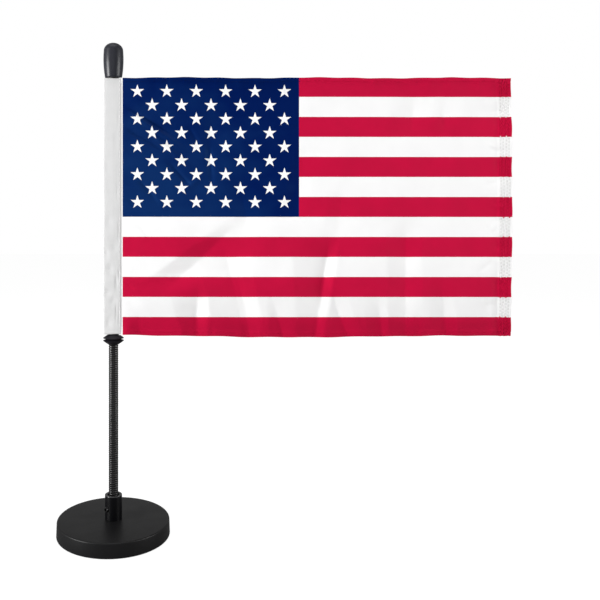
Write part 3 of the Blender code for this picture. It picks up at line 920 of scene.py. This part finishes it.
def star_outline(centre):
    """A star's ten corners with points between them, so that its edges follow the cloth."""
    corners = []
    for corner in range(10):
        radius = STAR_RADIUS * (1 if corner % 2 == 0 else STAR_INNER)
        angle = math.pi / 2 + corner * math.pi / 5
        corners.append(Vector((centre[0] + radius * math.cos(angle), centre[1] + radius * math.sin(angle))))
    points = []
    for near, far in zip(corners, corners[1:] + corners[:1]):
        points += [near.lerp(far, share / STAR_EDGE_PARTS) for share in range(STAR_EDGE_PARTS)]
    return points


STARS = list(star_centres())


def star_reach(du, dv):
    """How far a star's edge is from its middle, in the direction of (du, dv)."""
    sector = math.pi / 5
    angle = np.abs((np.arctan2(dv, du) - math.pi / 2 + sector) % (2 * sector) - sector)
    tip = np.array([STAR_RADIUS, 0.0])
    notch = STAR_RADIUS * STAR_INNER * np.array([math.cos(sector), math.sin(sector)])
    edge = notch - tip
    return (tip[0] * edge[1] - tip[1] * edge[0]) / (np.cos(angle) * edge[1] - np.sin(angle) * edge[0])


def nearest_star(u, v):
    """(distance from the nearest star's middle, reach of its edge that way)."""
    centres = np.array(STARS)
    du = u[:, None] - centres[None, :, 0]
    dv = v[:, None] - centres[None, :, 1]
    distance = np.hypot(du, dv)
    index = distance.argmin(axis=1)
    rows = np.arange(len(u))
    return distance[rows, index], star_reach(du[rows, index], dv[rows, index])


def print_colour(u, v):
    """0 white, 1 red, 2 blue, for arrays of points of the panel."""
    stripe = np.clip(np.floor((v + TURNED) / STRIPE_HEIGHT), 0, STRIPES - 1).astype(int)
    colour = np.where(stripe % 2 == 0, 1, 0)
    in_canton = (u < CANTON_WIDTH) & (v > CANTON_FOOT)
    distance, reach = nearest_star(u, v)
    colour = np.where(in_canton, np.where(distance < reach, 0, 2), colour)
    return np.where(u < 0, 0, colour)


def grid_lines(cell, *stops):
    """Evenly spaced lines between stops, about one cell apart."""
    lines = []
    for low, high in zip(stops, stops[1:]):
        cells = max(1, round((high - low) / cell))
        lines += [low + (high - low) * cell_number / cells for cell_number in range(cells)]
    return lines + [stops[-1]]


def flat_panel():
    """The panel's flat mesh: (points, triangles), with an edge along every change of colour and every hem."""
    turn = 0.15 * MM
    hem_line = PRINT_WIDTH - FLY_HEM
    columns = grid_lines(CELL, -MARGIN, 0.0, CANTON_WIDTH, hem_line - turn)
    stripe_stops = [STRIPE_HEIGHT * stripe - TURNED for stripe in range(1, STRIPES)]
    stops = [EDGE_HEM + turn, *stripe_stops, PRINT_HEIGHT - EDGE_HEM - turn]
    rows = grid_lines(CELL, *stops)
    fine_rows = grid_lines(0.5 * MM, *stops)
    foot_rows = grid_lines(0.5 * MM, 0.0, EDGE_HEM - turn)
    top_rows = [PRINT_HEIGHT - row for row in foot_rows]
    hem_columns = grid_lines(0.36 * MM, hem_line + turn, PRINT_WIDTH)
    fine_columns = grid_lines(0.62 * MM, -MARGIN, 0.0, CANTON_WIDTH, hem_line - turn)
    patches = [
        (columns, rows),
        (fine_columns, foot_rows + top_rows),
        (hem_columns, foot_rows + fine_rows + top_rows),
    ]
    grids = [np.meshgrid(*patch) for patch in patches]
    u = np.concatenate([grid[0].ravel() for grid in grids])
    v = np.concatenate([grid[1].ravel() for grid in grids])
    distance, reach = nearest_star(u, v)
    crowded = np.abs(distance - reach) < 0.4 * MM
    points = [Vector(p) for p in zip(u[~crowded], v[~crowded])]
    edges = []
    for centre in STARS:
        first = len(points)
        outline = star_outline(centre)
        points += outline
        edges += [(first + place, first + (place + 1) % len(outline)) for place in range(len(outline))]
    near_unit = [p / CELL for p in points]
    flat, _, faces, *_ = delaunay_2d_cdt(near_unit, edges, [], 0, 1e-5)
    return np.array([tuple(p) for p in flat]) * CELL, faces


def boundary_loop(faces):
    """The outer edges of the faces, each in its face's own direction."""
    seen = {}
    for index, face in enumerate(faces):
        for a, b in zip(face, (*face[1:], face[0])):
            seen[(a, b)] = index
    return [(a, b, index) for (a, b), index in seen.items() if (b, a) not in seen]


def set_cloth_layout(mesh, layout):
    """Gives each vertex its (u, v) in the flat cloth, so that the weave follows the cloth."""
    corners = np.empty(len(mesh.loops), np.int32)
    mesh.loops.foreach_get("vertex_index", corners)
    uv = mesh.uv_layers.new(name="cloth")
    uv.data.foreach_set("uv", np.asarray(layout, np.float32)[corners].ravel())


def make_panel():
    """The printed panel as one sheet with two faces, its hems twice as thick."""
    flat, faces = flat_panel()
    u, v = flat[:, 0], flat[:, 1]
    middle = panel_point(u, v)
    normal = panel_normal(u, v)
    front_reach, back_reach = panel_faces(u, v)
    count = len(flat)
    points = np.concatenate([middle + normal * front_reach[:, None], middle - normal * back_reach[:, None]])
    front = [tuple(face) for face in faces]
    back = [tuple(count + corner for corner in reversed(face)) for face in front]
    centres = np.array([flat[list(face)].mean(axis=0) for face in front])
    colours = print_colour(centres[:, 0], centres[:, 1])
    rim, rim_colours = [], []
    for a, b, index in boundary_loop(front):
        rim.append((b, a, count + a, count + b))
        rim_colours.append(colours[index])
    mesh = mesh_from("flag_cloth_panel", points, front + back + rim)
    panel = new_object("flag_cloth_panel", mesh, cloth_white, cloth_red, cloth_blue)
    all_colours = np.concatenate([colours, colours, rim_colours]).astype(np.int32)
    mesh.polygons.foreach_set("material_index", all_colours)
    set_cloth_layout(mesh, np.concatenate([flat, flat]))
    mesh.set_sharp_from_angle(angle=math.radians(60))
    return panel


# A stitch's rings: share of its length, thickness and lift, both in radii of the thread
STITCH_RINGS = [
    (0.0, 0.4, -0.7), (0.1, 0.8, 0.1), (0.3, 1.0, 0.5), (0.7, 1.0, 0.5), (0.9, 0.8, 0.1), (1.0, 0.4, -0.7),
]
STITCH_SIDES = 6


def stitch_points(start, end, normal, radius):
    """One stitch: an arched thread from one needle hole to the next, as rings of points."""
    along = (end - start).normalized()
    side = along.cross(normal).normalized()
    points = []
    for share, thick, lift in STITCH_RINGS:
        middle = start.lerp(end, share) + normal * radius * lift
        for corner in range(STITCH_SIDES):
            angle = 2 * math.pi * corner / STITCH_SIDES
            points.append(middle + (side * math.cos(angle) + normal * math.sin(angle)) * radius * thick)
    return points


def sewing(name, stitches, radius, *materials):
    """Many stitches as one piece. Each is (start, end, outward normal, material number)."""
    points, faces, numbers = [], [], []
    sides = tube_faces(len(STITCH_RINGS), STITCH_SIDES)
    for start, end, normal, number in stitches:
        first = len(points)
        points += stitch_points(Vector(start), Vector(end), Vector(normal), radius)
        faces += [tuple(first + corner for corner in side) for side in sides]
        numbers += [number] * len(sides)
    mesh = mesh_from(name, points, faces)
    face_outward(mesh)
    mesh.polygons.foreach_set("material_index", np.array(numbers, np.int32))
    return new_object(name, mesh, *materials)


def sewn_row(name, holes, radius):
    """A row of stitches through the needle holes, an array of (u, v), seen on both faces of the panel."""
    u, v = holes[:, 0], holes[:, 1]
    middle = panel_point(u, v)
    normal = panel_normal(u, v)
    between = (holes[:-1] + holes[1:]) / 2
    colours = print_colour(between[:, 0], between[:, 1])
    stitches = []
    for sign, reach in zip((1, -1), panel_faces(u, v)):
        skin = middle + normal * (reach[:, None] + 0.02 * MM) * sign
        for index, colour in enumerate(colours):
            gap = 0.13
            start = skin[index] * (1 - gap) + skin[index + 1] * gap
            end = skin[index] * gap + skin[index + 1] * (1 - gap)
            stitches.append((start, end, normal[index] * sign, int(colour)))
    row = sewing(name, stitches, radius, thread_white, thread_red, thread_blue)
    return row


def make_hems():
    """The rows of stitches along the flag's three free edges, where the cloth is pinched."""
    thread = 0.14 * MM
    fly_thread = 0.25 * MM
    count = int((PRINT_WIDTH - 1 * MM) / EDGE_STITCH)
    along = (np.arange(count) + 0.5) * EDGE_STITCH
    rows = []
    for name, height in (("thread_bottom_hem", EDGE_ROW), ("thread_top_hem", PRINT_HEIGHT - EDGE_ROW)):
        rows.append(sewn_row(name, np.stack([along, np.full_like(along, height)], axis=1), thread))
    count = int((PRINT_HEIGHT - 1 * MM) / FLY_STITCH)
    for row, place in enumerate(FLY_ROWS):
        up = (np.arange(count) + 0.5) * FLY_STITCH + fly_row_start(row)
        up = up[up < PRINT_HEIGHT - 0.5 * MM]
        holes = np.stack([np.full_like(up, PRINT_WIDTH - place), up], axis=1)
        rows.append(sewn_row(f"thread_fly_hem_{row + 1}", holes, fly_thread))
    return rows


def make_flag():
    panel = make_panel()
    threads = make_hems()
    for piece in (panel, *threads):
        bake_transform(piece)
    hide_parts("flag_panel_hoist", "flag_panel_fly")
    sleeve = make_sleeve()


# ---------------- sleeve

# The sleeve's section from its front edge round the pole to its back edge, in millimetres from the pole's
# axis. Its front is flat and level with the panel. Its back goes round the neck and forward to the seam.
SLEEVE_SECTION = [
    (4.5, -2.95), (3.6, -2.98), (2.0, -3.06), (0.0, -3.12), (-3.0, -3.1), (-4.7, -3.04),
    (-5.3, -2.92), (-5.6, -2.55), (-5.68, -1.5), (-5.66, 0.0), (-5.5, 1.4), (-4.9, 2.5),
    (-3.6, 3.05), (-1.8, 3.2), (0.0, 3.22), (1.4, 3.02), (2.5, 2.45), (3.2, 1.3), (3.5, 0.0),
    (3.6, -1.2), (3.75, -1.95), (4.0, -2.13), (4.5, -2.15),
]
SLEEVE_SEAM = 3.9 * MM
SLEEVE_STITCH = 2.6 * MM

# Dents in the sleeve's front, in millimetres: (across, up, half width, half length, depth), measured from the
# pole's axis and the sleeve's foot
SLEEVE_DENTS = [
    (1.9, 13, 0.6, 4.5, 0.36), (3.3, 11, 0.4, 5.0, 0.3), (0.2, 20, 1.9, 2.6, 0.4),
    (-3.4, 24, 1.9, 2.8, 0.44), (2.0, 31, 0.9, 4.0, 0.36), (3.4, 35, 0.4, 4.0, 0.26),
    (-1.6, 38, 2.0, 2.6, 0.36), (-4.0, 47, 1.6, 3.2, 0.36), (-2.6, 7, 2.0, 2.6, 0.4),
    (1.0, 51, 2.0, 3.0, 0.3), (3.2, 61, 0.4, 6.0, 0.2), (-2.4, 66, 2.0, 3.5, 0.26),
    (2.4, 84, 0.6, 5.0, 0.14), (-3.2, 97, 2.2, 4.0, 0.2), (1.6, 113, 1.6, 5.0, 0.16),
    (3.1, 126, 0.5, 5.0, 0.12),
]


def sleeve_strip(count):
    """Evenly spaced points along the sleeve's section, and the outward direction at each."""
    section = np.array(SLEEVE_SECTION) * MM
    along = np.concatenate([[0.0], np.cumsum(np.hypot(*np.diff(section, axis=0).T))])
    fine = np.linspace(0.0, along[-1], 400)
    smooth = np.stack([np.interp(fine, along, section[:, axis]) for axis in (0, 1)], axis=1)
    for _ in range(16):
        smooth[1:-1] = (smooth[:-2] + 2 * smooth[1:-1] + smooth[2:]) / 4
    tangent = np.gradient(smooth, axis=0)
    outward = np.stack([tangent[:, 1], -tangent[:, 0]], axis=1)
    outward *= -1 / np.linalg.norm(outward, axis=1, keepdims=True)
    pick = np.linspace(0, 399, count).round().astype(int)
    return smooth[pick], outward[pick], fine[pick]


def sleeve_swell(x, front, share, up):
    """How far the cloth stands out from its section: waves, most towards its foot, dents and a tight seam."""
    loose = math.sin(math.pi * share) ** 0.5
    slack = 0.3 + 0.8 * math.exp(-up / (30 * MM)) + 0.4 * math.exp(-(((up - 60 * MM) / (15 * MM)) ** 2))
    slant = 8.0 * share
    wave = math.sin(up / (5.1 * MM) + slant) + 0.7 * math.sin(up / (3.3 * MM) - 1.3 * slant)
    wave += 0.6 * math.sin(up / (9.7 * MM) + 1.7 * slant + 1.0)
    swell = 0.07 * MM * slack * loose * (wave + 2.3)
    if front:
        for across, height, width, length, depth in SLEEVE_DENTS:
            far = ((x / MM - across) / width) ** 2 + ((up / MM - height) / length) ** 2
            swell -= depth * MM * math.exp(-far)
    hole = math.cos(math.pi * up / SLEEVE_STITCH) ** 4
    return swell - 0.07 * MM * (0.1 + hole) * math.exp(-(((x - SLEEVE_SEAM) / (0.35 * MM)) ** 2))


def make_sleeve():
    """The hem that the neck runs through: a strip of cloth round it, with the panel between its ends."""
    box_low, box_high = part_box("flag_sleeve")
    section, outward, run = sleeve_strip(88)
    heights = np.linspace(box_low.z, box_high.z, 190)
    points, layout = [], []
    for row, height in enumerate(heights):
        up = height - box_low.z
        end = 1.0 if row == 0 else -1.0 if row == len(heights) - 1 else 0.0
        for index, (x, y) in enumerate(section):
            share = run[index] / run[-1]
            swell = sleeve_swell(x, share < 0.4, share, up)
            edge = 0.1 * MM * math.sin(up / (9 * MM)) * math.sin(math.pi * share)
            frayed = end * 0.14 * MM * (1 + math.sin(19 * share))
            along, back = outward[index]
            points.append((x + edge + swell * along, y + swell * back, height + frayed))
            layout.append((run[index], height))
    width = len(section)
    faces = []
    for row in range(len(heights) - 1):
        for step in range(width - 1):
            near = row * width + step
            faces.append((near, near + width, near + width + 1, near + 1))
    mesh = mesh_from("flag_cloth_sleeve", points, faces)
    set_cloth_layout(mesh, layout)
    sleeve = new_object("flag_cloth_sleeve", mesh, cloth_sleeve)
    layer = sleeve.modifiers.new("layer", "SOLIDIFY")
    layer.thickness = CLOTH
    layer.offset = -1
    wrap_up(sleeve, "flag_sleeve")
    seam = make_sleeve_seam(box_low.z, box_high.z)
    return sleeve


def make_sleeve_seam(foot, top):
    """The stitches that close the sleeve and hold the panel in it, on both sides."""
    stitches = []
    faces = ((-1, SLEEVE_SECTION[0][1] * MM), (1, SLEEVE_SECTION[-1][1] * MM))
    for number in range(int((top - foot) / SLEEVE_STITCH)):
        low = foot + (number + 0.5) * SLEEVE_STITCH
        if low + SLEEVE_STITCH > top:
            break
        for side, skin in faces:
            y = skin + side * 0.02 * MM
            start = (SLEEVE_SEAM, y, low + 0.4 * MM)
            end = (SLEEVE_SEAM, y, low + SLEEVE_STITCH - 0.4 * MM)
            stitches.append((start, end, (0.0, side, 0.0), 0))
    seam = sewing("thread_sleeve_seam", stitches, 0.11 * MM, thread_white)
    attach(seam, BODY_OF["flag_sleeve"])
    return seam


# ---------------- everything

def finish_hidden_nodes():
    """The CAD pieces that stay as they are get their own finishes."""
    kept = {
        "base_weight": weight_iron,
        "base_pad": pad_rubber,
        "collar_screw": screw_zinc,
        "collar_screw_washer": screw_zinc,
        "neck_ferrule_lower": ferrule_steel,
        "neck_ferrule_upper": ferrule_steel,
    }
    for node, material in kept.items():
        obj = frame["nodes"][node]
        obj.data.materials.clear()
        obj.data.materials.append(material)


make_camera()
make_studio()
finish_hidden_nodes()
make_base()
make_collar()
make_set_screw()
make_stop()
make_cap()
make_neck()
make_flag()

bpy.context.view_layer.update()
